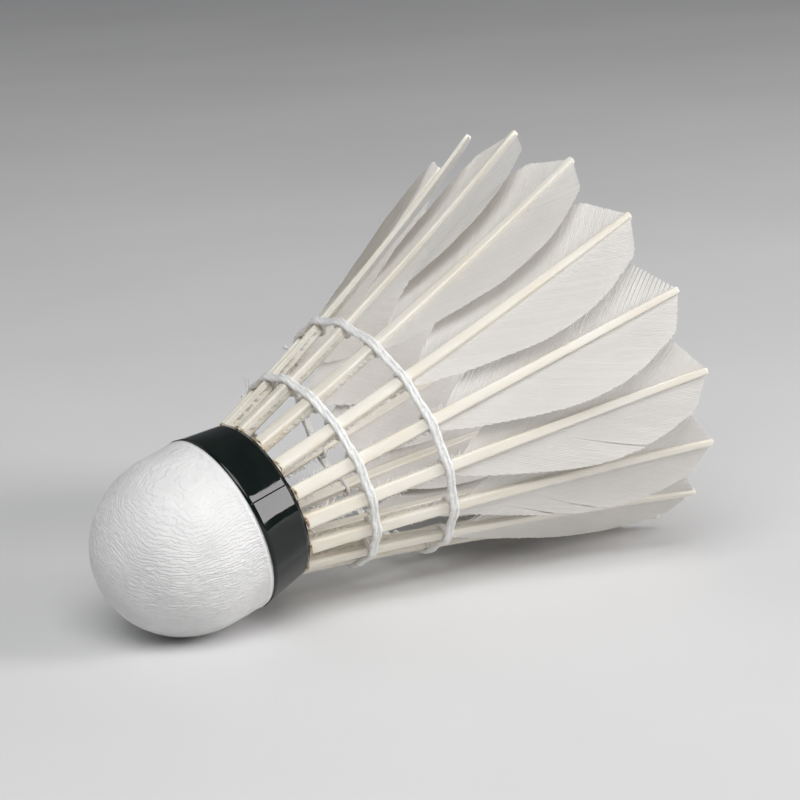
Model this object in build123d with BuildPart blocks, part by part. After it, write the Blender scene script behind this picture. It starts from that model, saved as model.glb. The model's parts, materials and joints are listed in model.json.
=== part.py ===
"""Feather shuttlecock lying on its side, as it comes to rest on a table.

The row frame has +Z up with the table at Z = 0 and +X from the cork towards the skirt.
The shuttlecock's own axis rises towards the skirt by the angle at which it lies.
Heights are measured along that axis from the cork's flat top, towards the feather tips.
Angles are measured round it from straight down, turning towards +Y.
"""
from build123d import *
from math import atan2, cos, degrees, hypot, radians, sin
import os

# Cork base, in millimetres
CAP_RADIUS = 13.4        # outside of the leather, on its straight stretch
CAP_STRAIGHT = 5.6       # straight stretch between the dome and the tape
DOME_HEIGHT = 14.0
DOME_ROUND = 0.5523      # handle of the curve that makes a quarter of an ellipse
BAND_HEIGHT = 7.25       # tape, from the straight stretch up to the flat top
TOP_RADIUS = 12.25       # the cork narrows to this at its flat top
LEATHER = 0.7
TAPE = 0.12
DOME_CENTRE = -BAND_HEIGHT - CAP_STRAIGHT
LEATHER_EDGE = -5.1      # the tape covers the leather from here down
TAPE_END_ANGLE = -117    # where the outer end of the tape stops
TAPE_OVERLAP = 42        # degrees of tape lying on the first turn
GLUE_RADIUS = 1.75
GLUE_HEIGHT = 0.45
GLUE_LIMIT = 12.0        # the glue stops short of the cork's edge

# Feathers
FEATHERS = 16
PITCH = 360 / FEATHERS
BASE_RADIUS = 11.1       # quill centres at the cork's flat top
TIP_RADIUS = 33.1        # quill centres at the tips
TIP_HEIGHT = 59.6
LEAN = -2.5              # turn round the axis from base to tip, in degrees
TWIST = 12.7             # each blade is turned about its quill, right side outwards
ROOF = 4.0               # each half of the vane also slopes inwards from the quill
BOW = 1.0                # the quill bends inwards by this at mid length
QUILL_BASE = 2.15        # width at the cork's flat top
QUILL_TIP = 1.05
QUILL_DEPTH = 0.95       # depth of the quill's section, against its width
QUILL_CORNER = 0.28      # rounding of its corners, against its width
QUILL_STATIONS = (0.35, 0.7, 1.0)   # sections along the quill, against its length
SOCKET_DEPTH = 9.0       # length of quill glued into the cork
QUILL_END = 1.3
SOCKET_GAP = 0.08
VANE = 0.3               # thickness
VANE_GAP = 0.15          # between vane and quill

# Threads
ROW_HEIGHTS = {"lower_thread": 9.8, "upper_thread": 21.2}
STRAND = 0.8             # diameter of one strand
STRAND_STEP = 0.41       # the two strands lie this far above and below the row's height
THREAD_GAP = 0.12        # between a strand and a quill
STRAND_BEND = 0.88       # radius of a strand's bends
STRAND_ROOM = 0.12       # more room for a strand beside a twisted quill, against its width
STRAND_REACH = 0.42      # a strand bends this far to each side of a quill, against its width

# How it lies: on its dome, on one quill's tip and on the edge of the blade before it
TILT = radians(15.2046)  # rise of the axis towards the skirt
LOWEST_FEATHER = 10      # numbered from 0
LOWEST_ANGLE = 4.8945    # of that feather's quill, from straight down
BOX_SHIFT = (-19.974, 0) # moves the cork's flat top along X and Y, to centre the whole


def polar(frame, radius, angle, height):
    """A point given round and along the axis of a frame."""
    turn = radians(angle)
    return frame.from_local_coords(Vector(radius * cos(turn), radius * sin(turn), height))


class Feather:
    """Directions of one feather: along its quill, across its blade and out of its blade."""

    def __init__(self, frame, angle):
        self.base = polar(frame, BASE_RADIUS, angle, 0)
        self.tip = polar(frame, TIP_RADIUS, angle + LEAN, TIP_HEIGHT)
        chord = self.tip - self.base
        self.length = chord.length
        self.along = chord.normalized()
        radial = polar(frame, 1, angle + LEAN / 2, 0) - frame.origin
        facing = (radial - self.along * radial.dot(self.along)).normalized()
        sideways = self.along.cross(facing)
        self.across = sideways * cos(radians(TWIST)) + facing * sin(radians(TWIST))
        self.out = self.across.cross(self.along)

    def sag(self, distance):
        """How far the bowed quill lies inside its chord, at a distance from its base."""
        share = distance / self.length
        return 4 * BOW * share * (1 - share)

    def centre(self, distance):
        return self.base + self.along * distance - self.out * self.sag(distance)

    def half_plane_dirs(self, side):
        """Across and outward directions of the right (+1) or left (-1) half of the vane."""
        slope = radians(-side * ROOF)
        across = self.across * cos(slope) + self.out * sin(slope)
        return across, across.cross(self.along)


def quill_width(distance, length):
    return QUILL_BASE + (QUILL_TIP - QUILL_BASE) * distance / length


# Outline of the right and left halves of a vane: distance from the quill's centre line
# and distance back from its tip, from the end cut round to where the vane begins.
RIGHT_CORNER = (5.4, 3.2)
RIGHT_EDGE = [(7.9, 11.5), (7.8, 20.5), (4.9, 31.5), (2.5, 38.3)]
RIGHT_START = 42.0
LEFT_CORNER = (6.9, 4.1)
LEFT_EDGE = [(8.4, 10.5), (8.3, 20.0), (5.9, 29.5)]
LEFT_START = 38.5
CORNER_ROUNDING = 1.0
VANE_REACH = 10.0        # the uncut sheet is wider than any vane
VANE_DEPTH = 4.0         # and the outline cuts through all of its bow


# The axis stands this far above the table where it crosses the cork's flat top
LIFT = hypot(CAP_RADIUS * cos(TILT), DOME_HEIGHT * sin(TILT)) - DOME_CENTRE * sin(TILT)
SHUTTLE = Plane(
    origin=(BOX_SHIFT[0], BOX_SHIFT[1], LIFT),
    x_dir=(sin(TILT), 0, -cos(TILT)),
    z_dir=(cos(TILT), 0, sin(TILT)),
)
AXIS = Axis(SHUTTLE.origin, SHUTTLE.z_dir)


def feather_angle(number):
    """Angle of a feather's quill at the cork, where feathers are numbered from 0."""
    return (number - LOWEST_FEATHER) * PITCH + LOWEST_ANGLE


def section_plane(angle):
    """Plane holding the axis, with x outwards at this angle and y along the axis."""
    outwards = polar(SHUTTLE, 1, angle, 0) - SHUTTLE.origin
    return Plane(origin=SHUTTLE.origin, x_dir=outwards, z_dir=outwards.cross(SHUTTLE.z_dir))


def cork_radius(height):
    """Radius of the cork under the tape, which narrows towards the flat top."""
    return TOP_RADIUS - (CAP_RADIUS - TOP_RADIUS) * height / BAND_HEIGHT


def dome_line(radius, height):
    """Quarter ellipse from the dome's tip out to its shoulder."""
    tip = DOME_CENTRE - height
    return Bezier(
        (0, tip),
        (DOME_ROUND * radius, tip),
        (radius, DOME_CENTRE - (1 - DOME_ROUND) * height),
        (radius, DOME_CENTRE),
    )


def save(part, label):
    part.label = label
    export_step(part, f"parts/{label}.step")


feathers = [Feather(SHUTTLE, feather_angle(number)) for number in range(FEATHERS)]
os.makedirs("parts", exist_ok=True)


def quill(feather, grow):
    """Bowed, tapering quill from its end in the cork to its cut tip, grown by a clearance."""
    stations = [(-SOCKET_DEPTH - grow, QUILL_END), (0, QUILL_BASE)]
    for share in QUILL_STATIONS:
        distance = feather.length * share
        stations.append((distance, quill_width(distance, feather.length)))
    with BuildPart() as shaft:
        for distance, width in stations:
            sag = feather.sag(distance) if distance > 0 else 0
            centre = feather.base + feather.along * distance - feather.out * sag
            with BuildSketch(Plane(origin=centre, x_dir=feather.across, z_dir=feather.along)):
                wide = width + 2 * grow
                deep = width * QUILL_DEPTH + 2 * grow
                RectangleRounded(wide, deep, width * QUILL_CORNER + grow)
        loft()
    return shaft.part


def half_vane(feather, side):
    """Right (+1) or left (-1) half of a vane: a thin sheet bent with the quill's bow."""
    across, out = feather.half_plane_dirs(side)
    start = RIGHT_START if side > 0 else LEFT_START
    corner = RIGHT_CORNER if side > 0 else LEFT_CORNER
    edge = RIGHT_EDGE if side > 0 else LEFT_EDGE
    length = feather.length
    near_tip = side * (quill_width(length, length) / 2 + VANE_GAP)
    near_start = side * (quill_width(length - start, length) / 2 + VANE_GAP)
    with BuildPart() as sheet:
        with BuildSketch(Plane(origin=feather.base, x_dir=feather.along, z_dir=across)):
            with BuildLine():
                half = VANE / 2
                under = ThreePointArc((0, -half), (length / 2, -BOW - half), (length, -half))
                over = ThreePointArc((0, half), (length / 2, -BOW + half), (length, half))
                Line(under @ 0, over @ 0)
                Line(under @ 1, over @ 1)
            make_face()
        extrude(amount=side * VANE_REACH)
        with BuildSketch(Plane(origin=feather.tip, x_dir=across, z_dir=out)):
            with BuildLine():
                cut = Line((near_tip, 0), (side * corner[0], -corner[1]))
                outer = [cut @ 1] + [(side * wide, -back) for wide, back in edge]
                rim = Spline(*outer, (near_start, -start))
                Line(rim @ 1, cut @ 0)
            face = make_face()
            fillet(face.vertices().sort_by_distance(cut @ 1)[0], CORNER_ROUNDING)
        extrude(amount=VANE_DEPTH, both=True, mode=Mode.INTERSECT)
    return sheet.part


# Cork: the ground core, with a rebate for the leather and sixteen slanted sockets
core_radius = CAP_RADIUS - LEATHER
core_dome = DOME_HEIGHT - LEATHER
sockets = [quill(feather, SOCKET_GAP) for feather in feathers]
with BuildPart() as cork_core:
    with BuildSketch(section_plane(0)):
        with BuildLine():
            dome = dome_line(core_radius, core_dome)
            wall = Line(dome @ 1, (core_radius, LEATHER_EDGE))
            step = Line(wall @ 1, (cork_radius(LEATHER_EDGE), LEATHER_EDGE))
            cone = Line(step @ 1, (TOP_RADIUS, 0))
            Polyline(cone @ 1, (0, 0), dome @ 0)
        make_face()
    revolve(axis=AXIS)
    add(sockets, mode=Mode.SUBTRACT)
save(cork_core.part, "cork_core")

# Leather: a stretched cap over the dome, skived thin where the tape covers its edge
with BuildPart() as leather_cap:
    with BuildSketch(section_plane(0)):
        with BuildLine():
            outside = dome_line(CAP_RADIUS, DOME_HEIGHT)
            straight = Line(outside @ 1, (CAP_RADIUS, -BAND_HEIGHT))
            skived = Line(straight @ 1, (cork_radius(LEATHER_EDGE), LEATHER_EDGE))
            rim = Line(skived @ 1, (core_radius, LEATHER_EDGE))
            inner_wall = Line(rim @ 1, (core_radius, DOME_CENTRE))
            inside = dome_line(core_radius, core_dome)
            Line(inside @ 0, outside @ 0)
        make_face()
    revolve(axis=AXIS)
save(leather_cap.part, "leather_cap")


def tape_layer(start_angle, turn, layer):
    """A stretch of tape wound on the cone, on top of a number of layers of itself."""
    with BuildPart() as wrap:
        with BuildSketch(section_plane(start_angle)):
            with BuildLine():
                inner = layer * TAPE
                Polyline(
                    (CAP_RADIUS + inner, -BAND_HEIGHT),
                    (CAP_RADIUS + inner + TAPE, -BAND_HEIGHT),
                    (TOP_RADIUS + inner + TAPE, 0),
                    (TOP_RADIUS + inner, 0),
                    close=True,
                )
            make_face()
        revolve(axis=AXIS, revolution_arc=turn)
    return wrap.part


# Tape: one full turn, with its outer end lying on the start of the turn
first_turn = tape_layer(TAPE_END_ANGLE, 360, 0)
overlap = tape_layer(TAPE_END_ANGLE, TAPE_OVERLAP, 1)
with BuildPart() as base_band:
    add(first_turn)
    add(overlap)
save(base_band.part, "base_band")

# Glue: a dried collar round each quill, on the cork's flat top
with BuildPart() as base_glue:
    with BuildSketch(SHUTTLE):
        with PolarLocations(BASE_RADIUS, FEATHERS, start_angle=feather_angle(0)):
            Circle(GLUE_RADIUS)
        Circle(GLUE_LIMIT, mode=Mode.INTERSECT)
    extrude(amount=GLUE_HEIGHT)
    add(sockets, mode=Mode.SUBTRACT)
save(base_glue.part, "base_glue")

# Feathers: a quill and a two-sided vane each
for number, feather in enumerate(feathers, start=1):
    save(quill(feather, 0), f"feather_{number:02d}_shaft")
    with BuildPart() as vane:
        add(half_vane(feather, 1))
        add(half_vane(feather, -1))
    save(vane.part, f"feather_{number:02d}_vane")


def strand_points(height, first_side):
    """Route of one strand, outside every other quill and inside the ones between."""
    points = []
    for number, feather in enumerate(feathers):
        distance = height / SHUTTLE.z_dir.dot(feather.along)
        width = quill_width(distance, feather.length)
        centre = SHUTTLE.to_local_coords(feather.centre(distance))
        turn = degrees(atan2(centre.Y, centre.X))
        clear = width / 2 + THREAD_GAP + STRAND / 2 + width * STRAND_ROOM
        side = first_side if number % 2 == 0 else -first_side
        radius = hypot(centre.X, centre.Y) + side * clear
        swing = degrees(atan2(width * STRAND_REACH, radius))
        points.append(polar(SHUTTLE, radius, turn - swing, height))
        points.append(polar(SHUTTLE, radius, turn + swing, height))
    return points


def strand(height, first_side):
    """One strand of thread, a closed loop woven round all sixteen quills."""
    with BuildPart() as loop:
        with BuildLine():
            corners = strand_points(height, first_side)
            route = FilletPolyline(*corners, radius=STRAND_BEND, close=True)
        with BuildSketch(Plane(origin=route @ 0, z_dir=route % 0)):
            Circle(STRAND / 2)
        sweep(path=route)
    return loop.part


for label, height in ROW_HEIGHTS.items():
    upper = strand(height + STRAND_STEP, 1)
    lower = strand(height - STRAND_STEP, -1)
    with BuildPart() as thread:
        add(upper)
        add(lower)
    save(thread.part, label)
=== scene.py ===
import json
import random
from math import atan2, cos, exp, hypot, pi, radians, sin, tan

import bmesh
import bpy
from mathutils import Matrix, Vector
from mathutils.geometry import intersect_line_line_2d


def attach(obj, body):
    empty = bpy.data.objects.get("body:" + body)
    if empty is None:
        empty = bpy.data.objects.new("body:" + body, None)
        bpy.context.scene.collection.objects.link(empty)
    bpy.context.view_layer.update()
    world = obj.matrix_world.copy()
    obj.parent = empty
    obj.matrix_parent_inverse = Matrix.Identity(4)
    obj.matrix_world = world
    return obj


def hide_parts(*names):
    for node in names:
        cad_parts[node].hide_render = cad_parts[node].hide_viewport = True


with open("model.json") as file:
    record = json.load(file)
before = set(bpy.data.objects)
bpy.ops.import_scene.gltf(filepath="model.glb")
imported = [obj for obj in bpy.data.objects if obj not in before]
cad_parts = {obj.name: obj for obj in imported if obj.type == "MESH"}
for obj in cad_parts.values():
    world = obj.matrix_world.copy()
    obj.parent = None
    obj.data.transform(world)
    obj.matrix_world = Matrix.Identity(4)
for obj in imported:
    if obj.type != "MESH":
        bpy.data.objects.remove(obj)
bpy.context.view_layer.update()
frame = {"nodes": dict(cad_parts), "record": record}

# ------------ how it lies
# The grip mount holds the cap's straight stretch, so the axis and the cork's flat top
# are found from it. The part rests on its dome and on the tips of its lowest feathers.
MM = 0.001
GRIP_HEIGHT = -10.05  # the mount's middle, below the cork's flat top
grip = next(mount for mount in frame["record"]["mounts"] if mount["name"] == "cap_grip")
axis = -Vector(grip["axis"]).normalized()
cork_top = Vector(grip["pos_m"]) - axis * GRIP_HEIGHT * MM
aside = Vector((0, 1, 0))
down = aside.cross(axis)


def frame_matrix(x_axis, y_axis, z_axis, origin):
    """The matrix that puts a piece into a frame with these axes and this origin."""
    columns = Matrix((x_axis, y_axis, z_axis)).transposed().to_4x4()
    return Matrix.Translation(origin) @ columns


LIE = frame_matrix(down, aside, axis, cork_top) @ Matrix.Scale(MM, 4)


def add_object(name, content):
    """An object for a mesh that is already in its place, a light or a camera."""
    piece = bpy.data.objects.new(name, content)
    bpy.context.scene.collection.objects.link(piece)
    return piece


# ------------ cork core
# The ground natural cork under the leather. Its flat top shows between the quills and
# from inside the skirt, with the sixteen slanted sockets that the feathers are glued into.
class Wires:
    """Adds nodes to a tree, and wires each up as it is added."""

    def __init__(self, tree):
        self.tree = tree

    def add(self, kind, *values, use=None, **inputs):
        """A new node: values fill its inputs in order or by name, use sets its options."""
        node = self.tree.nodes.new(kind)
        for option, choice in (use or {}).items():
            setattr(node, option, choice)
        named = {name.replace("_", " "): value for name, value in inputs.items()}
        for key, value in [*enumerate(values), *named.items()]:
            value = value.socket if isinstance(value, Amount) else value
            if isinstance(value, bpy.types.NodeSocket):
                self.tree.links.new(value, node.inputs[key])
            elif value is not None:
                node.inputs[key].default_value = value
        return node

    def give(self, kind, *values, **inputs):
        """The first output of a new node."""
        return self.add(kind, *values, **inputs).outputs[0]

    def amount(self, kind, *values, out=0, **inputs):
        """An output of a new node, as an Amount."""
        return Amount(self, self.add(kind, *values, **inputs).outputs[out])


class Amount:
    """A number that a node gives, which more nodes can add to, multiply and so on."""

    def __init__(self, wires, socket):
        self.wires = wires
        self.socket = socket

    def work(self, operation, *others):
        """What a Math node makes of this number and any others."""
        return self.wires.amount("ShaderNodeMath", self, *others, use={"operation": operation})

    def __add__(self, other):
        return self.work("ADD", other)

    def __sub__(self, other):
        return self.work("SUBTRACT", other)

    def __rsub__(self, other):
        return self * -1 + other

    def __mul__(self, other):
        return self.work("MULTIPLY", other)

    def __truediv__(self, other):
        return self.work("DIVIDE", other)

    def __pow__(self, other):
        return self.work("POWER", other)

    def size(self):
        """The number without its sign."""
        return self.work("ABSOLUTE")

    def most(self, other):
        """The larger of the two."""
        return self.work("MAXIMUM", other)

    def between(self, start, end, low=0.0, high=1.0):
        """From low at start to high at end, eased, and held beyond them."""
        use = {"interpolation_type": "SMOOTHSTEP"}
        return self.wires.amount("ShaderNodeMapRange", self, start, end, low, high, use=use)

    __radd__ = __add__
    __rmul__ = __mul__


def new_finish(name, **settings):
    """A material with one main shader; returns it with its wires, which hold that shader."""
    material = bpy.data.materials.new(name)
    material.use_nodes = True
    material.node_tree.nodes.clear()
    wires = Wires(material.node_tree)
    wires.shader = wires.add("ShaderNodeBsdfPrincipled", **settings)
    wires.add("ShaderNodeOutputMaterial", wires.shader.outputs[0])
    return material, wires


def in_mm(wires, *stretch):
    """Object coordinates in millimetres, each divided by a length."""
    place = wires.add("ShaderNodeTexCoord").outputs["Object"]
    scale = [1 / (MM * length) for length in (stretch or (1, 1, 1))]
    return wires.give("ShaderNodeMapping", place, Scale=scale)


def noise(wires, place, spacing=1.0, detail=2.0, roughness=0.5):
    """A cloudy pattern between 0 and 1, with its lumps about a spacing apart."""
    return wires.amount(
        "ShaderNodeTexNoise", Vector=place, Scale=1 / spacing, Detail=detail, Roughness=roughness
    )


def link(wires, source, target):
    """Wires a colour or a number to one of the shader's inputs."""
    source = source.socket if isinstance(source, Amount) else source
    wires.tree.links.new(source, wires.shader.inputs[target])


def colour(wires, amount, *stops):
    """Colours the shader along a scale: each stop is a position and a colour."""
    node = wires.add("ShaderNodeValToRGB", amount)
    while len(node.color_ramp.elements) < len(stops):
        node.color_ramp.elements.new(0.5)
    for element, (position, tone) in zip(node.color_ramp.elements, stops):
        element.position = position
        element.color = (*tone, 1)
    link(wires, node.outputs[0], "Base Color")


def relief(wires, height, depth):
    """Bumps the shader's surface by a depth in millimetres times the height given."""
    bump = wires.add("ShaderNodeBump", Distance=depth * MM, Height=height)
    link(wires, bump.outputs[0], "Normal")


cork, wires = new_finish("natural_cork", Roughness=0.82)
grain_place = in_mm(wires)
granules = wires.amount("ShaderNodeTexVoronoi", Vector=grain_place, Scale=0.9)
clouds = noise(wires, grain_place, 2.2, 3)
pits = noise(wires, in_mm(wires, 0.35, 0.35, 1.6), 1.0, 2)
colour(
    wires,
    granules * 0.5 + clouds * 0.6,
    (0.2, (0.16, 0.085, 0.045)),
    (0.45, (0.42, 0.26, 0.14)),
    (0.8, (0.6, 0.41, 0.25)),
)
relief(wires, pits.between(0.35, 0.6) + granules * 0.6, 0.12)
core = frame["nodes"]["cork_core"]
for material_slot in core.material_slots:
    material_slot.material = cork

# ------------ leather cap
# A white leather cap, wetted and stretched over the cork dome and glued. The stretching
# leaves ridges that run round the smoothest spot, and the edge is skived under the tape.
CAP_RADIUS = 13.4
DOME_HEIGHT = 14.0
DOME_CENTRE = -12.85  # where the dome meets the straight stretch
CAP_EDGE = -7.25  # the tape covers the leather above this height
SKIVED_RADIUS = 13.01  # at the skived edge
SKIVED_EDGE = -5.1
LEATHER = 0.7  # thickness
RIM_SWELL = 0.1  # the leather swells a little beside the tape
SWELL_HEIGHT = -7.85
SWELL_WIDTH = 0.4
DOME_RINGS = 112
WALL_RINGS = 34
INSIDE_RINGS = 12
CAP_STEPS = 480  # round the cap
SMOOTHEST = (-0.85, -0.53, -0.02)  # spot, as a direction from the dome's centre
CROSSWISE = (0.53, -0.85, 0)  # square to it, and to the axis
RIDGE_SPACING = 0.6  # of the ridges in the surface
RIDGE_HEIGHT = 0.1
RIDGE_STRETCH = 2.9  # how much longer a ridge is than the space between two
FINE_SPACING = 0.34  # of the finer ones on them
FINE_DEPTH = 0.13
SMOOTH_EDGE = 0.9  # the ridges fade out this far below the cap's edge


def polar(radius, turn, height):
    """The place at a radius, a turn about the axis in radians and a height."""
    return Vector((radius * cos(turn), radius * sin(turn), height))


def revolve(name, rings, steps):
    """A closed mesh turned about Z from (radius, height) rings that start and end on it."""
    verts = [Vector((0, 0, rings[0][1]))]
    for radius, height in rings[1:-1]:
        verts += [polar(radius, 2 * pi * step / steps, height) for step in range(steps)]
    verts.append(Vector((0, 0, rings[-1][1])))
    last = len(verts) - 1
    faces = []
    for step in range(steps):
        beside = (step + 1) % steps
        faces.append((0, 1 + beside, 1 + step))
        for ring in range(len(rings) - 3):
            near = 1 + ring * steps
            far = near + steps
            faces.append((near + step, near + beside, far + beside, far + step))
        faces.append((last, last - steps + step, last - steps + beside))
    mesh = bpy.data.meshes.new(name)
    mesh.from_pydata(verts, [], faces)
    mesh.shade_smooth()
    return mesh


def cap_rings():
    """The cap's section, from the nose along the outside, round its edge and back inside."""
    rings = []
    for ring in range(DOME_RINGS):
        turn = pi / 2 * ring / DOME_RINGS
        rings.append((CAP_RADIUS * sin(turn), DOME_CENTRE - DOME_HEIGHT * cos(turn)))
    for ring in range(WALL_RINGS + 1):
        height = DOME_CENTRE + (CAP_EDGE - DOME_CENTRE) * ring / WALL_RINGS
        swell = RIM_SWELL * exp(-(((height - SWELL_HEIGHT) / SWELL_WIDTH) ** 2))
        rings.append((CAP_RADIUS + swell, height))
    rings += [(SKIVED_RADIUS, SKIVED_EDGE), (CAP_RADIUS - LEATHER, SKIVED_EDGE)]
    for ring in range(INSIDE_RINGS + 1):
        turn = pi / 2 * (1 - ring / INSIDE_RINGS)
        depth = (DOME_HEIGHT - LEATHER) * cos(turn)
        rings.append(((CAP_RADIUS - LEATHER) * sin(turn), DOME_CENTRE - depth))
    return rings


SOCKETS = {int: "NodeSocketInt", float: "NodeSocketFloat", tuple: "NodeSocketVector"}


def new_growth(name, **sizes):
    """A Geometry Nodes tree with a named input for each size; returns its wires and inputs."""
    tree = bpy.data.node_groups.new(name, "GeometryNodeTree")
    for side in ("INPUT", "OUTPUT"):
        tree.interface.new_socket("Geometry", in_out=side, socket_type="NodeSocketGeometry")
    for label, value in sizes.items():
        kind = SOCKETS[type(value)]
        socket = tree.interface.new_socket(label, in_out="INPUT", socket_type=kind)
        socket.default_value = value
    wires = Wires(tree)
    given = wires.add("NodeGroupInput")
    sizes_given = {label: Amount(wires, given.outputs[label]) for label in sizes}
    return wires, given.outputs["Geometry"], sizes_given


def end_growth(wires, geometry, material):
    """Ends a Geometry Nodes tree, so that it gives plain faces in one material."""
    real = wires.give("GeometryNodeRealizeInstances", geometry)
    done = wires.give("GeometryNodeSetMaterial", real, Material=material)
    wires.add("NodeGroupOutput", done)


def grow(wires, start, **sizes):
    """The plain mesh that a Geometry Nodes tree makes from a mesh, with these sizes."""
    holder = add_object("growing", start)
    modifier = holder.modifiers.new("growth", "NODES")
    modifier.node_group = wires.tree
    for item in wires.tree.interface.items_tree:
        if item.in_out == "INPUT" and item.name in sizes:
            modifier[item.identifier] = sizes[item.name]
    graph = bpy.context.evaluated_depsgraph_get()
    mesh = bpy.data.meshes.new_from_object(holder.evaluated_get(graph))
    holder.modifiers.remove(modifier)
    bpy.data.objects.remove(holder)
    return mesh


def dot(wires, place, direction):
    """How far a place lies along a direction."""
    use = {"operation": "DOT_PRODUCT"}
    return wires.amount("ShaderNodeVectorMath", place, direction, out="Value", use=use)


def parts(wires, place):
    """The X, Y and Z of a place."""
    return [Amount(wires, socket) for socket in wires.add("ShaderNodeSeparateXYZ", place).outputs]


def scaled(wires, place, scale):
    """A place or a direction times a number."""
    use = {"operation": "SCALE"}
    return wires.give("ShaderNodeVectorMath", place, Scale=scale, use=use)


def spot_place(wires):
    """Where each point is, inside a Geometry Nodes tree."""
    return wires.give("GeometryNodeInputPosition")


def moved(wires, shape, **where):
    """A shape with its points moved to a Position or by an Offset."""
    return wires.give("GeometryNodeSetPosition", shape, **where)


def swollen(wires, surface, lift):
    """A surface pushed outwards by a distance that may differ from point to point."""
    push = scaled(wires, wires.give("GeometryNodeInputNormal"), lift)
    return moved(wires, surface, Offset=push)


def stretch_ridges(wires, centred, spacing, finest):
    """Ridges about 0 that run round the smoothest spot, in mm about the dome's centre."""
    wander = noise(wires, centred, 6.0, 1) * 1.8 + noise(wires, centred, 1.6, 1) * 0.25
    across = dot(wires, centred, SMOOTHEST) + wander
    height = parts(wires, centred)[2]
    length = spacing * RIDGE_STRETCH
    place = wires.give(
        "ShaderNodeCombineXYZ",
        across / (spacing * 0.6),
        dot(wires, centred, CROSSWISE) / length,
        height / length,
    )
    broken = noise(wires, place, 1.0, finest, 0.55).between(0.3, 0.7) - 0.5
    waves = (across * (2 * pi / spacing) + broken * 4).work("SINE")
    unit = wires.give("ShaderNodeVectorMath", centred, use={"operation": "NORMALIZE"})
    calm = dot(wires, unit, SMOOTHEST).between(0.97, 0.3, 0.5, 1.0)
    wall = CAP_EDGE - DOME_CENTRE
    edge = height.between(wall - SMOOTH_EDGE, wall - 0.1, 1.0, 0.0)
    return (broken * 0.6 + waves * 0.2) * calm * edge


leather, wires = new_finish(
    "stretched_leather",
    Roughness=0.5,
    Subsurface_Weight=0.04,
    Subsurface_Radius=(1, 0.9, 0.8),
    Subsurface_Scale=0.3 * MM,
)
leather_place = in_mm(wires)
tone = noise(wires, leather_place, 5, 3)
colour(wires, tone, (0.3, (0.72, 0.72, 0.715)), (0.7, (0.78, 0.78, 0.775)))
wear = noise(wires, leather_place, 1.1, 2).between(0.3, 0.7, 0.42, 0.6)
link(wires, wear, "Roughness")
centred = wires.give(
    "ShaderNodeMapping",
    wires.add("ShaderNodeTexCoord").outputs["Object"],
    Location=LIE @ Vector((0, 0, DOME_CENTRE)),
    Rotation=LIE.to_euler(),
    Scale=(MM, MM, MM),
    use={"vector_type": "TEXTURE"},
)
pores = noise(wires, centred, 0.16, 2, 0.6)
relief(wires, stretch_ridges(wires, centred, FINE_SPACING, 3.0) + pores * 0.2, FINE_DEPTH)

wires, cap, given = new_growth("leather_ridges", height=RIDGE_HEIGHT)
centred = wires.give("ShaderNodeVectorMath", spot_place(wires), (0, 0, -DOME_CENTRE))
lift = stretch_ridges(wires, centred, RIDGE_SPACING, 1.0) * given["height"]
end_growth(wires, swollen(wires, cap, lift), leather)

cap_mesh = grow(wires, revolve("cap", cap_rings(), CAP_STEPS))
cap_mesh.transform(LIE)
leather_cap = add_object("leather_dome", cap_mesh)
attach(leather_cap, "root")
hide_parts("leather_cap")

# ------------ tape
# Glossy dark tape, wound once round the cork and a bit over its own start. It hides the
# leather's edge and the cork's cone, and is stretched, so it lies smooth with soft waves.
TOP_RADIUS = 12.25  # of the cork's cone at its flat top
TAPE = 0.12  # thickness
TAPE_GLUE = 0.02  # between the tape and what it lies on
TAPE_START = -75  # degrees, where the tape starts and climbs over itself
TAPE_TURN = 402  # degrees from there to its outer end, one step each
CLIMB = 9  # degrees over which it climbs
TAPE_FACES = 10  # across the tape's width
TAPE_LIP = 0.05  # how far its rolled edges stand out, the upper one half as far
LOWER_LIP = 0.06  # their widths, against the tape's width
UPPER_LIP = 0.05
WAVE = 0.012  # the soft waves left by the stretching
RIPPLE = 0.004
WAVE_PHASE = 0.6


def cone_radius(height):
    """Radius of the cork's cone under the tape."""
    return TOP_RADIUS - (CAP_RADIUS - TOP_RADIUS) * height / -CAP_EDGE


def loft(name, rings):
    """A closed mesh through rings of points, with its ends capped."""
    count = len(rings[0])
    verts = [point for ring in rings for point in ring]
    faces = [tuple(range(count))[::-1]]
    for start in range(0, len(verts) - count, count):
        for step in range(count):
            beside = (step + 1) % count
            near = (start + step, start + beside)
            faces.append((*near, near[1] + count, near[0] + count))
    faces.append(tuple(range(len(verts) - count, len(verts))))
    mesh = bpy.data.meshes.new(name)
    mesh.from_pydata(verts, [], faces)
    mesh.shade_smooth()
    return mesh


def tape_ring(turned):
    """The tape's section where it has turned so many degrees from its start."""
    climb = min(max((turned - 360 + CLIMB) / CLIMB, 0), 1)
    layer = climb * climb * (3 - 2 * climb)
    turn = radians(TAPE_START - turned)
    inner, outer = [], []
    for step in range(TAPE_FACES + 1):
        share = step / TAPE_FACES
        height = CAP_EDGE * (1 - share)
        lower, upper = exp(-((share / LOWER_LIP) ** 2)), exp(-(((1 - share) / UPPER_LIP) ** 2))
        lip = TAPE_LIP * (lower + 0.5 * upper)
        wave = WAVE * sin(turn * 5 + height * 0.5 + WAVE_PHASE) + RIPPLE * sin(turn * 11 - height)
        radius = cone_radius(height) + layer * TAPE
        outer.append((radius + TAPE + lip + wave, height))
        inner.append((radius + TAPE_GLUE, height))
    return [polar(radius, turn, height) for radius, height in outer + inner[::-1]]


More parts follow.
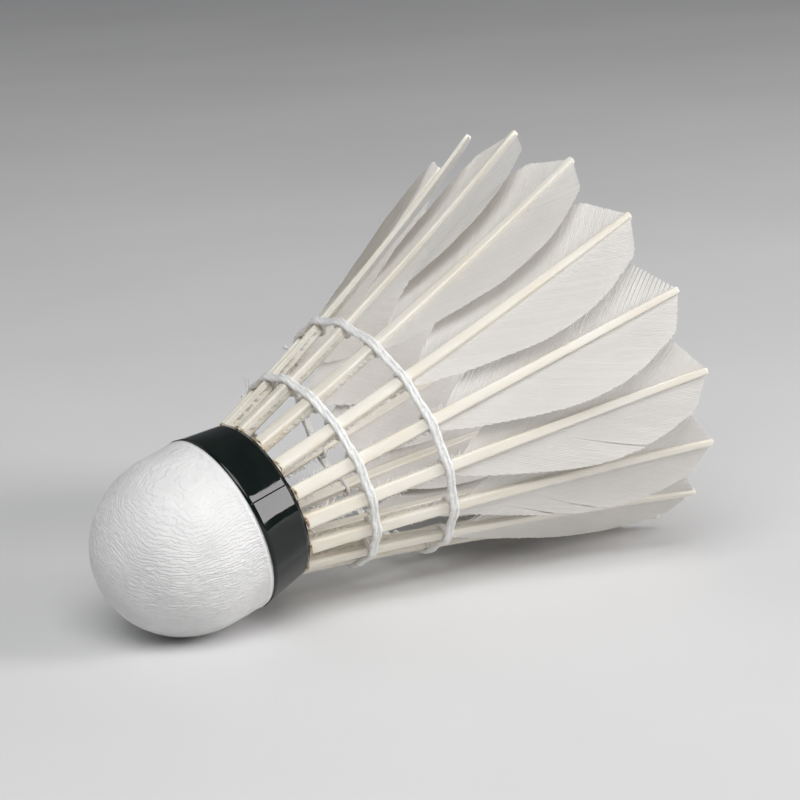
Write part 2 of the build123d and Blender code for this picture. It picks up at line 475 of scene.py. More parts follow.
tape_finish, wires = new_finish("gloss_tape", IOR=1.43)
tape_place = in_mm(wires)
tape_tone = noise(wires, tape_place, 3, 2)
colour(wires, tape_tone, (0.3, (0.002, 0.005, 0.004)), (0.7, (0.005, 0.009, 0.008)))
dullness = noise(wires, tape_place, 2.0, 3).between(0.4, 0.8, 0.04, 0.14)
link(wires, dullness, "Roughness")
relief(wires, noise(wires, tape_place, 1.8, 1), 0.012)

tape_mesh = loft("tape", [tape_ring(turned) for turned in range(TAPE_TURN + 1)])
tape_mesh.materials.append(tape_finish)
tape_mesh.transform(LIE)
tape = add_object("edge_tape", tape_mesh)
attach(tape, "root")
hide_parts("base_band")

# ------------ feathers
# Sixteen goose feathers, stamped to one outline, glued into the cork so that each blade
# overlaps the next like the slats of a fan. Each leans, twists and bows a little.
FEATHERS = 16
PITCH = 360 / FEATHERS
LOWEST_FEATHER = 10  # numbered from 0
LOWEST_ANGLE = 4.8945  # of its base, in degrees round the axis
BASE_RADIUS = 11.1
TIP_RADIUS = 33.1
TIP_HEIGHT = 59.6
LEAN = -2.5  # degrees from a feather's base round to its tip
TWIST = 12.7  # degrees that the blade turns about its quill
ROOF = 4.0  # degrees that each half of the blade slopes down from the quill
BOW = 1.0  # height of the quill's bend
QUILL_BASE = 2.15  # widths of the quill: at the cork, at its tip and in the socket
QUILL_TIP = 1.05
QUILL_END = 1.3
SOCKET_DEPTH = 9.0
PATTERN_STEP = 7.3  # moves the finish's pattern on from feather to feather


class Feather:
    """Where one feather is: its frame has X across the blade, Y along the quill, Z outwards."""

    def __init__(self, number):
        angle = (number - LOWEST_FEATHER) * PITCH + LOWEST_ANGLE
        self.number = number
        self.base = polar(BASE_RADIUS, radians(angle), 0)
        self.tip = polar(TIP_RADIUS, radians(angle + LEAN), TIP_HEIGHT)
        self.length = (self.tip - self.base).length
        self.along = (self.tip - self.base).normalized()
        radial = polar(1, radians(angle + LEAN / 2), 0)
        facing = (radial - self.along * radial.dot(self.along)).normalized()
        sideways = self.along.cross(facing)
        self.across = sideways * cos(radians(TWIST)) + facing * sin(radians(TWIST))
        self.out = self.across.cross(self.along)
        self.matrix = LIE @ frame_matrix(self.across, self.along, self.out, self.base)
        self.label = f"feather_{number + 1:02d}"

    def width(self, distance):
        """Width of the quill at a distance from the cork."""
        if distance < 0:
            return QUILL_BASE + (QUILL_END - QUILL_BASE) * -distance / SOCKET_DEPTH
        return QUILL_BASE + (QUILL_TIP - QUILL_BASE) * distance / self.length

    def sag(self, distance):
        """How far the bent quill lies inside the straight line to its tip."""
        share = max(distance, 0) / self.length
        return 4 * BOW * share * (1 - share)

    def centre(self, distance):
        """The middle of the quill at a distance from the cork."""
        return self.base + self.along * distance - self.out * self.sag(distance)


feathers = [Feather(number) for number in range(FEATHERS)]


def line_mesh(name, lines, closed=False, **marks):
    """A mesh of lines for a tree to grow along; each mark is a number for every point."""
    verts, edges = [], []
    for line in lines:
        first = len(verts)
        verts += line
        edges += [(spot, spot + 1) for spot in range(first, len(verts) - 1)]
        if closed:
            edges.append((len(verts) - 1, first))
    mesh = bpy.data.meshes.new(name)
    mesh.from_pydata(verts, edges, [])
    for label, values in marks.items():
        mark = mesh.attributes.new(label, "FLOAT", "POINT")
        mark.data.foreach_set("value", [value for line in values for value in line])
    return mesh


def mark_blade(mesh, number):
    """Keeps each point's place in the flat feather, for the finish's pattern to follow."""
    mark = mesh.attributes.new("blade", "FLOAT_VECTOR", "POINT")
    places = [0.0] * (3 * len(mesh.vertices))
    mesh.vertices.foreach_get("co", places)
    places[2::3] = [height + PATTERN_STEP * number for height in places[2::3]]
    mark.data.foreach_set("vector", places)


def swept(wires, line, section, **sizes):
    """A section carried along a line, with its ends closed."""
    return wires.give("GeometryNodeCurveToMesh", line, section, Fill_Caps=True, **sizes)


def marked(wires, label):
    """A number that the mesh carries, inside a Geometry Nodes tree."""
    use = {"data_type": "FLOAT"}
    return wires.amount("GeometryNodeInputNamedAttribute", Name=label, use=use)


def kept(wires, label, out="Fac"):
    """A number or a place that the mesh carries, inside a finish."""
    return wires.amount("ShaderNodeAttribute", out=out, use={"attribute_name": label})


# ------------ quills
# The feather's shaft, of horn: squarish with rounded corners, smooth outside, with a
# notch down each side where the blade grows and a groove down the inside. Cut off square.
QUILL_DEPTH = 0.95  # against its width, as the next four are
SQUARENESS = 0.42  # 1 is round, and less is squarer
NOTCH = 0.07
GROOVE = 0.24
SWELL = 0.06  # near the cork
SWELL_LENGTH = 30  # where it has mostly died out
QUILL_SPACING = 1.6  # between the sections along the quill
LAST_SECTION = 0.6  # before the cut
CUT_ROUNDING = ((0.35, 1.0), (0.12, 0.93), (0.0, 0.74))  # distance from the tip, share

quill_finish, wires = new_finish(
    "quill_horn",
    Roughness=0.38,
    Subsurface_Weight=0.15,
    Subsurface_Radius=(1, 0.8, 0.55),
    Subsurface_Scale=0.5 * MM,
)
blade = kept(wires, "blade", "Vector")
fibre_place = wires.give("ShaderNodeMapping", blade, Scale=(7, 0.22, 7))
fibres = noise(wires, fibre_place, 1.0, 3, 0.6)
stain_place = wires.give("ShaderNodeMapping", blade, Scale=(0.5, 0.09, 0.5))
stains = noise(wires, stain_place, 1.0, 2)
along_quill = parts(wires, blade)[1]
colour(
    wires,
    stains * 0.55 + fibres * 0.3 + along_quill.between(1, 30, 0.07, 0.0),
    (0.3, (0.83, 0.805, 0.74)),
    (0.5, (0.79, 0.75, 0.655)),
    (0.72, (0.71, 0.615, 0.46)),
)
link(wires, fibres.between(0.3, 0.7, 0.3, 0.5), "Roughness")
relief(wires, fibres, 0.04)

wires, path, given = new_growth("quill_shaft", depth=QUILL_DEPTH, notch=NOTCH, groove=GROOVE)
side, inward, _ = parts(wires, spot_place(wires))
square_side, square_inward = [
    part.work("SIGN") * part.size() ** SQUARENESS for part in (side, inward)
]
notch = (1 - (inward / 0.3) ** 2.0).most(0.0) * given["notch"]
groove = (1 - (square_side.size() / 0.5) ** 2.0).most(0.0) * given["groove"]
section = wires.give(
    "ShaderNodeCombineXYZ",
    square_side * (1 - notch),
    square_inward * given["depth"] - groove * inward.most(0.0),
)
ring = wires.give("GeometryNodeCurvePrimitiveCircle", Resolution=28)
ring = moved(wires, ring, Position=section)
spine = wires.give("GeometryNodeMeshToCurve", path)
spine = wires.give("GeometryNodeSetCurveNormal", spine, use={"mode": "Z_UP"})
shaft = swept(wires, spine, ring, Scale=marked(wires, "breadth"))
end_growth(wires, shaft, quill_finish)
quill_growth = wires


def quill_mesh(feather):
    """The quill's mesh in the feather's flat frame."""
    stops = [-SOCKET_DEPTH, -SOCKET_DEPTH / 2]
    count = round(feather.length / QUILL_SPACING)
    stops += [(feather.length - LAST_SECTION) * stop / count for stop in range(count + 1)]
    swells = [1 + SWELL * exp(-stop / SWELL_LENGTH) for stop in stops]
    breadths = [feather.width(stop) / 2 * swell for stop, swell in zip(stops, swells)]
    for back, share in CUT_ROUNDING:
        stops.append(feather.length - back)
        breadths.append(feather.width(feather.length) / 2 * share)
    line = [Vector((0, stop, -feather.sag(stop))) for stop in stops]
    mesh = grow(quill_growth, line_mesh("quill_path", [line], breadth=[breadths]))
    mesh.shade_smooth()
    return mesh


for feather in feathers:
    mesh = quill_mesh(feather)
    mark_blade(mesh, feather.number)
    mesh.transform(feather.matrix)
    quill = add_object(f"{feather.label}_quill", mesh)
    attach(quill, "root")
    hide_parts(f"{feather.label}_shaft")

# ------------ vanes
# The blade on each side of the quill: close-set barbs that slant towards the tip and
# hook together into a light sheet, cut at the end and the rim to the stamped outline.
# Torn hooks leave splits, and stumps of cut barbs stay on the bare part of the quill.
BARB_STEP = 0.5  # between roots along the quill
FIRST_BARB = 0.35  # root of the first one, back from the tip
BARB_START = 0.3  # aside of the quill's middle
LEAST_BARB = 0.5  # shorter ones are left out
BARB_POINTS = 9
BARB_TAPER = 0.35  # how much narrower a barb is at its end
BARB_TILT = 0.16  # radians, so that each lies a little over the next
LOOSE_BREADTH = 0.72  # of a loose barb, against a hooked one
STUMPS = 95  # on each side of a quill
STUMP_POINTS = 4
STUMP_BREADTH = 0.09
STUMP_TILT = 0.5
WALK = 0.5  # step when a barb's line is walked out to the rim
WALK_STEPS = 60
CORNER_ROUNDING = 1.1
# Each half of the stamped feather: its outline as (across, back from the tip), and its barbs'
# slant from the quill in degrees, curl in degrees for each millimetre, and half width
VANE_HALVES = {
    1: {
        "outline": [
            (0, 0), (5.4, 3.2), (7.9, 11.5), (7.8, 20.5), (4.9, 31.5), (2.5, 38.3), (0.9, 42.0)
        ],
        "slant": 33,
        "curl": 0.55,
        "breadth": 0.165,
    },
    -1: {
        "outline": [(0, 0), (6.9, 4.1), (8.4, 10.5), (8.3, 20.0), (5.9, 29.5), (0.9, 38.5)],
        "slant": 41,
        "curl": 0.6,
        "breadth": 0.2,
    },
}
# Splits by feather: half, distance back from the tip to its root, opening and reach
SPLITS = {
    5: [(-1, 30.5, 0.3, 1.5)],
    6: [(1, 25.5, 0.45, 2.0)],
    7: [(1, 31.0, 0.5, 2.0), (1, 36.0, 0.6, 1.6)],
    9: [(1, 22.0, 0.4, 2.0)],
    12: [(-1, 20.0, 0.4, 2.0)],
    14: [(1, 15.0, 0.3, 2.0)],
}
# Loose barbs by feather: half, from and to distance back, barbs in a clump, pull
LOOSE = {
    2: [(-1, 34.0, 38.5, 3, 0.4)],
    5: [(-1, 1.0, 19.0, 2, 0.55), (-1, 31.0, 38.5, 2, 0.5)],
    8: [(-1, 32.0, 38.5, 3, 0.6)],
    11: [(1, 3.0, 12.0, 4, 0.5)],
}


def smooth_line(points, steps):
    """Points on a smooth line through some points."""
    ends = [points[0], *points, points[-1]]
    line = []
    for spot in range(len(points) - 1):
        before, start, end, after = (Vector(point) for point in ends[spot:spot + 4])
        for step in range(steps):
            share = step / steps
            line.append(
                0.5 * (
                    2 * start
                    + (end - before) * share
                    + (2 * before - 5 * start + 4 * end - after) * share ** 2
                    + (3 * start - before - 3 * end + after) * share ** 3
                )
            )
    return [*line, Vector(points[-1])]


def vane_rim(outline):
    """The outline as a line: the straight end cut, a rounded corner and the smooth rim."""
    start, corner, after = (Vector(point) for point in outline[:3])
    before = corner + (start - corner).normalized() * CORNER_ROUNDING
    beyond = corner + (after - corner).normalized() * CORNER_ROUNDING
    bend = []
    for share in (0, 0.25, 0.5, 0.75):
        pull = (corner - before) * 2 * share * (1 - share)
        bend.append(before + pull + (beyond - before) * share ** 2)
    rim = smooth_line([beyond, *outline[2:]], 8)
    return [start, *bend, *rim]


def walk_out(root, half, rim):
    """A barb's line from the quill towards the rim, as (across, back), cut off there."""
    heading = radians(half["slant"])
    here = Vector((BARB_START, root))
    line = [here]
    for _ in range(WALK_STEPS):
        ahead = here + Vector((sin(heading), -cos(heading))) * WALK
        for start, end in zip(rim, rim[1:]):
            cut = intersect_line_line_2d(here, ahead, start, end)
            if cut:
                return [*line, cut]
        line.append(ahead)
        here = ahead
        heading -= radians(half["curl"]) * WALK
    return line


def even_points(line, count):
    """Points at equal distances along a line, and the line's length."""
    lengths = [(end - start).length for start, end in zip(line, line[1:])]
    total = sum(lengths)
    points = []
    spot, passed = 0, 0.0
    for step in range(count):
        target = total * step / (count - 1)
        while spot < len(lengths) - 1 and passed + lengths[spot] < target:
            passed += lengths[spot]
            spot += 1
        share = min((target - passed) / max(lengths[spot], 1e-6), 1)
        points.append(line[spot].lerp(line[spot + 1], share))
    return points, total


def barb_plan(half):
    """Every barb of one half of the stamped feather, from the tip back."""
    rim = vane_rim(half["outline"])
    back = half["outline"][-1][1]
    plan = []
    for row in range(int(back / BARB_STEP)):
        root = FIRST_BARB + row * BARB_STEP
        points, length = even_points(walk_out(root, half, rim), BARB_POINTS)
        if length > LEAST_BARB:
            plan.append((root, points))
    return plan


BARB_PLANS = {side: barb_plan(half) for side, half in VANE_HALVES.items()}


def barb_points(feather, side, row, root, plan, drift, chance):
    """One barb of a feather: its points with its splits and pulls, and whether it is loose."""
    splits = [split[1:] for split in SPLITS.get(feather.number, []) if split[0] == side]
    loose = [zone[1:] for zone in LOOSE.get(feather.number, []) if zone[0] == side]
    rise = chance.uniform(-0.015, 0.015)
    trim = 1 - chance.random() ** 3 * 0.02
    heading = (plan[-1] - plan[0]).normalized()
    apart = Vector((-heading.y, heading.x))  # towards the quill's base
    clump = (0.0, 0.0, 0.0)  # aside, up, and where its waves start
    for start, end, size, pull in loose:
        if start < root < end:
            group = row // size
            middle = (size - 1) / 2 - row % size
            tilt = random.Random(group * 31 + feather.number).uniform(-1, 1)
            clump = (middle * BARB_STEP * 0.6 * pull, tilt * 0.22 * pull, tilt * 3)
    points = []
    for spot, point in enumerate(plan):
        share = spot / (len(plan) - 1)
        place = plan[0] + (point - plan[0]) * trim
        lift = rise * share + drift * 0.6 * share
        shift = drift * share
        for back, opening, reach in splits:
            beyond = root - back
            pull = exp(-abs(beyond) / reach) * share ** 1.5
            shift += opening / 2 * pull * (1 if beyond > 0 else -1)
            lift += 0.12 * pull * (-1 if beyond > 0 else 1)
        shift += clump[0] * share ** 1.2 + 0.05 * abs(clump[1]) * sin(share * 9 + clump[2])
        lift += clump[1] * share
        place = place + apart * shift
        points.append(Vector((side * max(place.x, 0.2), feather.length - place.y, lift)))
    return points, any(clump)


def stump_points(feather, side, chance):
    """The stump of a barb that was cut off the bare part of the quill."""
    start = VANE_HALVES[side]["outline"][-1][1]
    back = start + (feather.length - start - 1.5) * chance.random()
    length = 0.3 + 0.7 * chance.random() ** 2
    distance = feather.length - back
    root = feather.width(distance) / 2 * 0.93  # just under the quill's skin
    turn = radians(chance.uniform(30, 70))
    points = []
    for spot in range(STUMP_POINTS):
        reach = length * spot / (STUMP_POINTS - 1)
        across = root + reach * sin(turn)
        lift = chance.uniform(-0.05, 0.05) + 0.1
        points.append(Vector((side * across, distance + reach * cos(turn), lift)))
    return points


def blade_lines(feather):
    """Barb lines of one feather in its flat frame, with their marks."""
    chance = random.Random(40 + feather.number)
    lines, marks = [], {"breadth": [], "slant": [], "shade": [], "share": []}

    def add_barb(points, breadth, slant, shade):
        count = len(points)
        lines.append(points)
        shares = [spot / (count - 1) for spot in range(count)]
        marks["breadth"].append([breadth * (1 - BARB_TAPER * share ** 6) for share in shares])
        marks["slant"].append([slant] * count)
        marks["shade"].append([shade] * count)
        marks["share"].append(shares)

    for side, half in VANE_HALVES.items():
        drift = 0.0
        for row, (root, plan) in enumerate(BARB_PLANS[side]):
            drift = 0.8 * drift + chance.uniform(-0.012, 0.012)
            points, loose = barb_points(feather, side, row, root, plan, drift, chance)
            shade = 0.5 + 0.5 * chance.uniform(-1, 1)
            breadth = half["breadth"] * chance.uniform(0.92, 1.08)
            add_barb(points, breadth * (LOOSE_BREADTH if loose else 1), -side * BARB_TILT, shade)
        for _ in range(STUMPS):
            points = stump_points(feather, side, chance)
            add_barb(points, STUMP_BREADTH, STUMP_TILT, 0.2 * chance.random())
    return line_mesh("barb_lines", lines, **marks)


vane_finish, wires = new_finish("feather_vane", Roughness=0.46, Specular_IOR_Level=0.4)
blade = kept(wires, "blade", "Vector")
barb_shade = kept(wires, "shade")
barb_share = kept(wires, "share")
smudge_place = wires.give("ShaderNodeMapping", blade, Scale=(0.2, 0.12, 0.2))
smudges = noise(wires, smudge_place, 1, 3)
colour(
    wires,
    smudges * 0.66 + barb_shade * 0.26 + barb_share.between(0.0, 0.25, 0.1, 0.0),
    (0.3, (0.93, 0.922, 0.905)),
    (0.6, (0.89, 0.877, 0.855)),
    (0.85, (0.82, 0.80, 0.765)),
)
link(wires, barb_shade.between(0.0, 1.0, 0.4, 0.55), "Roughness")
glow = wires.give("ShaderNodeBsdfTranslucent", (0.91, 0.89, 0.85, 1))
mixed = wires.give("ShaderNodeMixShader", 0.42, wires.shader.outputs[0], glow)
sheet_output = next(node for node in wires.tree.nodes if node.type == "OUTPUT_MATERIAL")
wires.tree.links.new(mixed, sheet_output.inputs["Surface"])

wires, barbs, given = new_growth(
    "barb_rows", Quill_length=63.5, Roof=tan(radians(ROOF)), Bow=BOW, Ruffle=0.14, Seed=0.0
)
strands = wires.give("GeometryNodeMeshToCurve", barbs)
strands = wires.give("GeometryNodeSetCurveNormal", strands, use={"mode": "Z_UP"})
strands = wires.give("GeometryNodeSetCurveTilt", strands, Tilt=marked(wires, "slant"))
ridge = wires.give("GeometryNodeCurvePrimitiveCircle", Resolution=4)
use = {"operation": "MULTIPLY"}
flat_place = wires.give("ShaderNodeVectorMath", spot_place(wires), (1, 0.24, 1), use=use)
ridge = moved(wires, ridge, Position=flat_place)
sheet = swept(wires, strands, ridge, Scale=marked(wires, "breadth"))
across, along, _ = parts(wires, spot_place(wires))
share = along / given["Quill_length"]
sag = share * (1 - share) * given["Bow"] * 4.0
seeded = wires.give("ShaderNodeCombineXYZ", across, along * 0.8, given["Seed"])
ruffle = (noise(wires, seeded, 4.0, 1.5) - 0.5) * given["Ruffle"] * (across.size() / 5.0)
dip = 0 - across.size() * given["Roof"] - sag + ruffle * 2.0
shift = wires.give("ShaderNodeCombineXYZ", None, None, dip)
end_growth(wires, moved(wires, sheet, Offset=shift), vane_finish)

for feather in feathers:
    sizes = {"Quill_length": feather.length, "Seed": 11.0 * feather.number}
    mesh = grow(wires, blade_lines(feather), **sizes)
    mesh.shade_flat()
    mark_blade(mesh, feather.number)
    mesh.transform(feather.matrix)
    vane = add_object(f"{feather.label}_blade", mesh)
    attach(vane, "root")
    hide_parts(f"{feather.label}_vane")

# ------------ glue
# Dried glue that was run round each quill on the cork's flat top, with crumbs of it
# and of quill skin left where the feathers went in.
GLUE_FOOT = 1.75  # radii of a collar
GLUE_TOP = 1.15
GLUE_HEIGHT = 0.6
GLUE_LIMIT = 12.0  # the glue stays this near the axis on the flat top
CRUMB = 0.16  # radius of the largest crumbs, before their sizes are drawn
CRUMBS = 4.5  # for each square millimetre

glue_finish, wires = new_finish(
    "dried_glue", Roughness=0.3, Transmission_Weight=0.15, IOR=1.48
)
colour(
    wires,
    noise(wires, in_mm(wires), 0.7, 3),
    (0.4, (0.22, 0.13, 0.07)),
    (0.47, (0.56, 0.44, 0.29)),
    (0.62, (0.74, 0.65, 0.5)),
)
relief(wires, noise(wires, in_mm(wires), 0.3, 2), 0.05)


def random_vector(wires, low, high, seed):
    """A vector drawn for each point, between two others."""
    use = {"data_type": "FLOAT_VECTOR"}
    return wires.give("FunctionNodeRandomValue", low, high, Seed=seed, use=use)


def join(wires, *pieces):
    """Several surfaces as one."""
    joined = wires.add("GeometryNodeJoinGeometry")
    for piece in pieces:
        wires.tree.links.new(piece, joined.inputs[0])
    return joined.outputs[0]


wires, _, given = new_growth(
    "glue_collars", quills=FEATHERS, circle=BASE_RADIUS, limit=GLUE_LIMIT, lumps=0.45, seed=3
)
spots = wires.add("GeometryNodeMeshCircle", Vertices=given["quills"], Radius=given["circle"])
turn = (0, 0, radians(LOWEST_ANGLE - LOWEST_FEATHER * PITCH))
spots = wires.give("GeometryNodeTransform", spots.outputs[0], Rotation=turn)
collar = wires.give(
    "GeometryNodeMeshCone", Vertices=36, Side_Segments=5, Fill_Segments=6,
    Radius_Top=GLUE_TOP, Radius_Bottom=GLUE_FOOT, Depth=GLUE_HEIGHT,
)
collars = wires.give("GeometryNodeInstanceOnPoints", spots, Instance=collar)
collars = wires.give("GeometryNodeRealizeInstances", collars)
lumps = (noise(wires, spot_place(wires), 0.8, 2) - 0.35) * given["lumps"]
collars = swollen(wires, collars, lumps)
crumb_spots = wires.add(
    "GeometryNodeDistributePointsOnFaces", collars, Density=CRUMBS, Seed=given["seed"]
).outputs
crumb = wires.give("GeometryNodeMeshIcoSphere", Radius=CRUMB, Subdivisions=2)
crumbs = wires.give(
    "GeometryNodeInstanceOnPoints",
    crumb_spots[0],
    Instance=crumb,
    Rotation=crumb_spots["Rotation"],
    Scale=random_vector(wires, (0.35, 0.35, 0.3), (1.2, 1.0, 0.9), 5),
)
crumbs = wires.give("GeometryNodeRealizeInstances", crumbs)
east, north, height = parts(wires, spot_place(wires))
radius = (east * east + north * north) ** 0.5
keep = ((given["limit"] + height.between(0.05, 0.3, 0.0, 0.55)) / radius).work("MINIMUM", 1.0)
held = wires.give("ShaderNodeCombineXYZ", east * keep, north * keep, height.most(0.0))
both = join(wires, crumbs, collars)
end_growth(wires, moved(wires, both, Position=held), glue_finish)

glue_mesh = grow(wires, bpy.data.meshes.new("glue_start"))
glue_mesh.shade_smooth()
glue_mesh.transform(LIE)
glue = add_object("glue_collars", glue_mesh)
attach(glue, "root")
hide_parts("base_glue")

# ------------ threads
# Two rows of white cotton thread, stitched round the quills while the glue was wet. In each
# row two strands lie side by side over every quill, with a loop behind it, and the row is
# stiffened with glue. The stitching ends in a knot with cut tails.
ROW_HEIGHTS = {"lower_thread": 9.8, "upper_thread": 21.2}
STRAND = 0.8
STRAND_STEP = 0.31  # from the row's middle to each of its strands, along the axis
NARROWED = 0.82  # the two lie closer over every second quill
STRAND_STANDS = 0.42  # off a quill's face, against the strand's width
HOLD = 0.7  # where a strand meets a quill's edges, against its half width
STRAND_SPACING = 0.2  # between sections along a strand
TWIST_RATE = 0.9  # turn of the plies, in radians for each millimetre
PLIES = 3
PLY_RIDGE = 0.09  # how far they stand out, against the strand's radius
LUMPS = 0.22
HAIR = (0.25, 0, 0.55)  # a hair of the lint, from its root to its end
HAIR_RADIUS = 0.018
FILM = 0.76  # dried glue between the two strands
PULLED_IN = 0.22  # the strands between two quills, by the loops behind them
# A loop's points: along the axis, outside (+1) or inside (-1) the quill, and swung aside
LOOP = (
    (-0.25, 0.7, -1.3),
    (-0.15, -0.1, -1.75),
    (-0.1, -0.85, -1.1),
    (0.1, -0.85, 1.1),
    (0.15, -0.1, 1.75),
    (0.25, 0.7, 1.3),
)
KNOT_SIZE = 0.3
KNOT_POINTS = 24
KNOT_TAILS = {  # lean along the axis and length of each cut tail
    "lower_thread": [(0.5, 2.6), (-0.5, 1.2)],
    "upper_thread": [(-0.7, 1.5)],
}

thread_finish, wires = new_finish(
    "glued_cotton",
    Roughness=0.42,
    Coat_Weight=0.25,
    Coat_Roughness=0.25,
    Subsurface_Weight=0.1,
    Subsurface_Scale=0.4 * MM,
)
lint = noise(wires, in_mm(wires), 0.5, 3)
colour(wires, lint, (0.35, (0.80, 0.785, 0.76)), (0.65, (0.89, 0.885, 0.87)))
relief(wires, noise(wires, in_mm(wires), 0.2, 3, 0.65), 0.09)

wires, route, given = new_growth(
    "thread_strand",
    radius=STRAND / 2,
    bend=0.8,
    spacing=STRAND_SPACING,
    twist=TWIST_RATE,
    fuzz=0.35,
    seed=2,
)
strand = wires.give("GeometryNodeMeshToCurve", route)
use = {"mode": "POLY"}
strand = wires.give(
    "GeometryNodeFilletCurve", strand, Radius=given["bend"], Limit_Radius=True, Count=5, use=use
)
use = {"mode": "LENGTH"}
strand = wires.give("GeometryNodeResampleCurve", strand, Length=given["spacing"], use=use)
travelled = wires.amount("GeometryNodeSplineParameter", out="Length")
strand = wires.give("GeometryNodeSetCurveTilt", strand, Tilt=travelled * given["twist"])
plies = wires.give("GeometryNodeCurvePrimitiveCircle", Resolution=5 * PLIES)
around = wires.amount("GeometryNodeSplineParameter", out="Factor") * (2 * pi * PLIES)
ply_radius = (around.work("COSINE") * PLY_RIDGE + (1 - PLY_RIDGE)) * given["radius"]
ply_place = scaled(wires, spot_place(wires), ply_radius)
plies = moved(wires, plies, Position=ply_place)
yarn = swept(wires, strand, plies)
yarn = swollen(wires, yarn, (noise(wires, spot_place(wires), 0.9, 2) - 0.5) * LUMPS)
hair_line = wires.give("GeometryNodeCurvePrimitiveLine", Start=(0, 0, 0), End=HAIR)
hair_line = wires.give("GeometryNodeResampleCurve", hair_line, Count=4)
hair_ring = wires.give("GeometryNodeCurvePrimitiveCircle", Resolution=3, Radius=HAIR_RADIUS)
hair = swept(wires, hair_line, hair_ring)
hair_spots = wires.add(
    "GeometryNodeDistributePointsOnFaces", yarn, Density=given["fuzz"], Seed=given["seed"]
).outputs
hair_turn = random_vector(wires, (-1.0, -1.0, -3.1), (1.0, 1.0, 3.1), 9)
use = {"rotation_space": "LOCAL"}
hair_turn = wires.give("FunctionNodeRotateRotation", hair_spots["Rotation"], hair_turn, use=use)
hairs = wires.give(
    "GeometryNodeInstanceOnPoints",
    hair_spots[0],
    Instance=hair,
    Rotation=hair_turn,
    Scale=wires.amount("FunctionNodeRandomValue", None, None, 0.4, 1.5, Seed=4),
)
end_growth(wires, join(wires, hairs, yarn), thread_finish)
strand_growth = wires


def spun(lines, closed, **sizes):
    """The strands that lie along some lines, as one mesh."""
    return grow(strand_growth, line_mesh("strands", lines, closed), **sizes)


def over_quill(feather, height, outside, swing, push=0.0):
    """A point beside a quill's outer (+1) or inner (-1) face, swung aside round the axis."""
    distance = height / feather.along.z
    centre = feather.centre(distance)
    width = feather.width(distance)
    radius = hypot(centre.x, centre.y) + outside * (width * 0.5 + STRAND * STRAND_STANDS) + push
    turn = atan2(centre.y, centre.x) + swing * atan2(width * 0.5, radius)
    return polar(radius, turn, height)


def row_rounds(height, halves, push=0.0):
    """Strands of a row, each a closed round over every quill and pulled in between them."""
    rounds = []
    for half in halves:
        line = []
        for feather in feathers:
            level = height + half * STRAND_STEP * (1 if feather.number % 2 else NARROWED)
            line += [over_quill(feather, level, 1, swing, push) for swing in (-HOLD, HOLD)]
            following = feathers[(feather.number + 1) % FEATHERS]
            middle = line[-1].lerp(over_quill(following, level, 1, -HOLD, push), 0.5)
            inwards = Vector((middle.x, middle.y, 0)).normalized() * PULLED_IN
            line.append(middle - inwards)
        rounds.append(line)
    return rounds


def row_loops(height):
    """The loop behind each quill, from one side of the row round to the other."""
    return [
        [over_quill(feather, height + change, outside, swing) for change, outside, swing in LOOP]
        for feather in feathers
    ]


def knot_lines(height, tails):
    """Where a row was tied off between the last feather and the first: a knot and tails."""
    start = over_quill(feathers[-1], height, 1, HOLD)
    middle = start.lerp(over_quill(feathers[0], height, 1, -HOLD), 0.5)
    outwards = Vector((middle.x, middle.y, 0)).normalized()
    round_axis = Vector((-outwards.y, outwards.x, 0))
    upwards = Vector((0, 0, 1))
    knot = []
    for step in range(KNOT_POINTS):
        turn = 2 * pi * step / KNOT_POINTS
        knot.append(
            middle
            + round_axis * KNOT_SIZE * (sin(turn) + 2 * sin(2 * turn))
            + upwards * KNOT_SIZE * (cos(turn) - 2 * cos(2 * turn))
            + outwards * KNOT_SIZE * (0.8 - sin(3 * turn))
        )
    ends = []
    for lean, length in tails:
        reach = outwards + upwards * lean + round_axis * 0.3 * lean
        bend = round_axis * 0.35
        ends.append([
            middle + reach * length * share + bend * share * share * length
            for share in (0, 0.35, 0.7, 1)
        ])
    return knot, ends


for node, height in ROW_HEIGHTS.items():
    knot, ends = knot_lines(height, KNOT_TAILS[node])
    meshes = [
        spun([knot], True, radius=STRAND * 0.42, bend=0.3),
        spun(ends, False, radius=STRAND * 0.36, fuzz=1.5, twist=2.5),
        spun(row_rounds(height, (-1, 1)), True),
        spun(row_rounds(height, (0,), -0.03), True, radius=FILM / 2, fuzz=0.3, twist=1.6),
        spun(row_loops(height), False, radius=STRAND * 0.4, seed=8),
    ]
    joined = bpy.data.meshes.new(node)
    holder = bmesh.new()
    for mesh in meshes:
        holder.from_mesh(mesh)
    holder.to_mesh(joined)
    holder.free()
    joined.materials.append(thread_finish)
    joined.shade_smooth()
    joined.transform(LIE)
    thread = add_object(f"{node}_stitching", joined)
    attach(thread, "root")
    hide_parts(node)

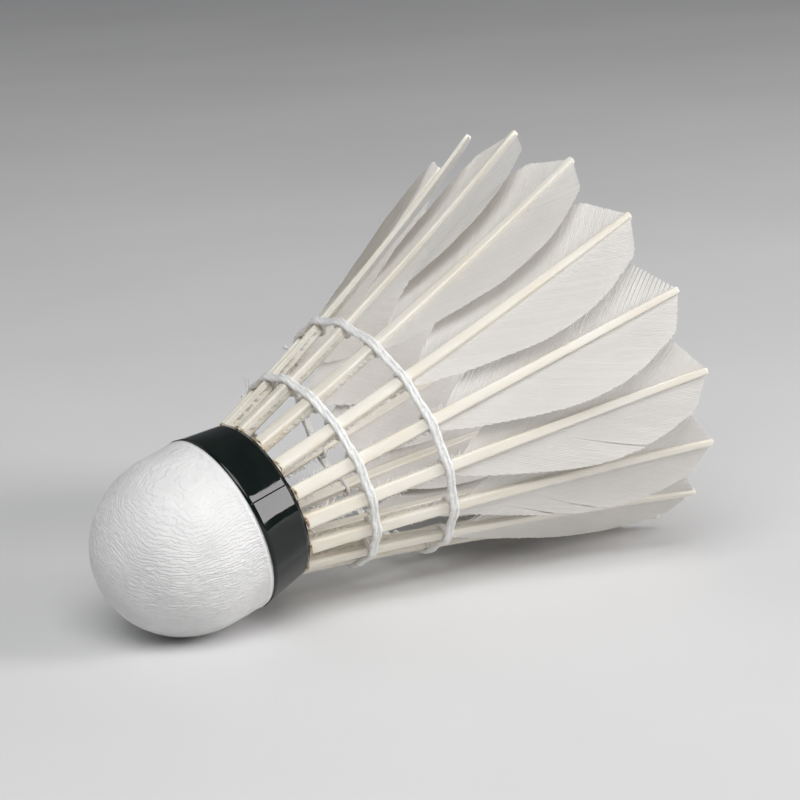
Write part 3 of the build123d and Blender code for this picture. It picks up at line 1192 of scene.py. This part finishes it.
# ------------ studio
# A plain pale table under soft studio light: a large soft light overhead, a smaller one at
# the side whose reflection lies on the tape, and a faint fill from the room.
FLOOR_RADIUS = 4.0
FLOOR_STEPS = 96  # round its rim
FLOOR_TOP = -0.01 * MM  # just under the shuttlecock
floor_finish, wires = new_finish("table_paint", Roughness=0.75)
table_tone = noise(wires, in_mm(wires), 90, 3)
colour(wires, table_tone, (0.3, (0.70, 0.70, 0.70)), (0.7, (0.74, 0.74, 0.74)))
relief(wires, noise(wires, in_mm(wires), 1.5, 2), 0.02)
turns = [2 * pi * step / FLOOR_STEPS for step in range(FLOOR_STEPS)]
rim = [polar(FLOOR_RADIUS, turn, FLOOR_TOP) for turn in turns]
floor_mesh = bpy.data.meshes.new("table")
floor_mesh.from_pydata(rim, [], [tuple(range(FLOOR_STEPS))])
floor_mesh.materials.append(floor_finish)
floor = add_object("table", floor_mesh)


def towards_place(azimuth, elevation):
    """Direction at an azimuth from +X towards +Y, and an elevation above the table."""
    rise = radians(elevation)
    return polar(cos(rise), radians(azimuth), sin(rise))


def soft_light(name, azimuth, elevation, distance, width, height, power, tone=(1, 1, 1)):
    """A rectangular soft light facing the shuttlecock."""
    light = bpy.data.lights.new(name, "AREA")
    light.shape = "RECTANGLE"
    light.size = width
    light.size_y = height
    light.energy = power
    light.color = tone
    holder = add_object(name, light)
    direction = towards_place(azimuth, elevation)
    holder.location = direction * distance + Vector((0, 0, 0.03))
    holder.rotation_euler = (-direction).to_track_quat("-Z", "Y").to_euler()


soft_light("overhead_light", -126, 55, 0.9, 0.8, 0.6, 6.4)
soft_light("side_light", -47, 22, 0.8, 0.3, 0.44, 4.0, (1, 0.97, 0.97))
soft_light("far_fill", 120, 35, 1.3, 0.9, 0.9, 1.2)

room = bpy.data.worlds.new("room")
room.use_nodes = True
room_light = room.node_tree.nodes["Background"].inputs
room_light["Color"].default_value = (0.8, 0.82, 0.85, 1)
room_light["Strength"].default_value = 0.16
bpy.context.scene.world = room
bpy.context.scene.view_settings.view_transform = "Standard"

# The camera looks at the middle of the shuttlecock, slightly rolled.
VIEW_AZIMUTH = 55.98  # the way it looks, from +X towards +Y
VIEW_DROP = 14.68  # below the horizontal
VIEW_ROLL = -3.48
VIEW_DISTANCE = 384.7 * MM
VIEW_TARGET = Vector((3.47, -3.70, 28.06)) * MM
LENS = 117

look = towards_place(VIEW_AZIMUTH, -VIEW_DROP)
camera = bpy.data.cameras.new("camera")
camera.lens = LENS
camera.clip_start = 0.01
camera.clip_end = 50
viewpoint = add_object("camera", camera)
level = look.to_track_quat("-Z", "Y").to_matrix().to_4x4()
viewpoint.matrix_world = (
    Matrix.Translation(VIEW_TARGET - look * VIEW_DISTANCE)
    @ level
    @ Matrix.Rotation(radians(VIEW_ROLL), 4, "Z")
)
bpy.context.scene.camera = viewpoint
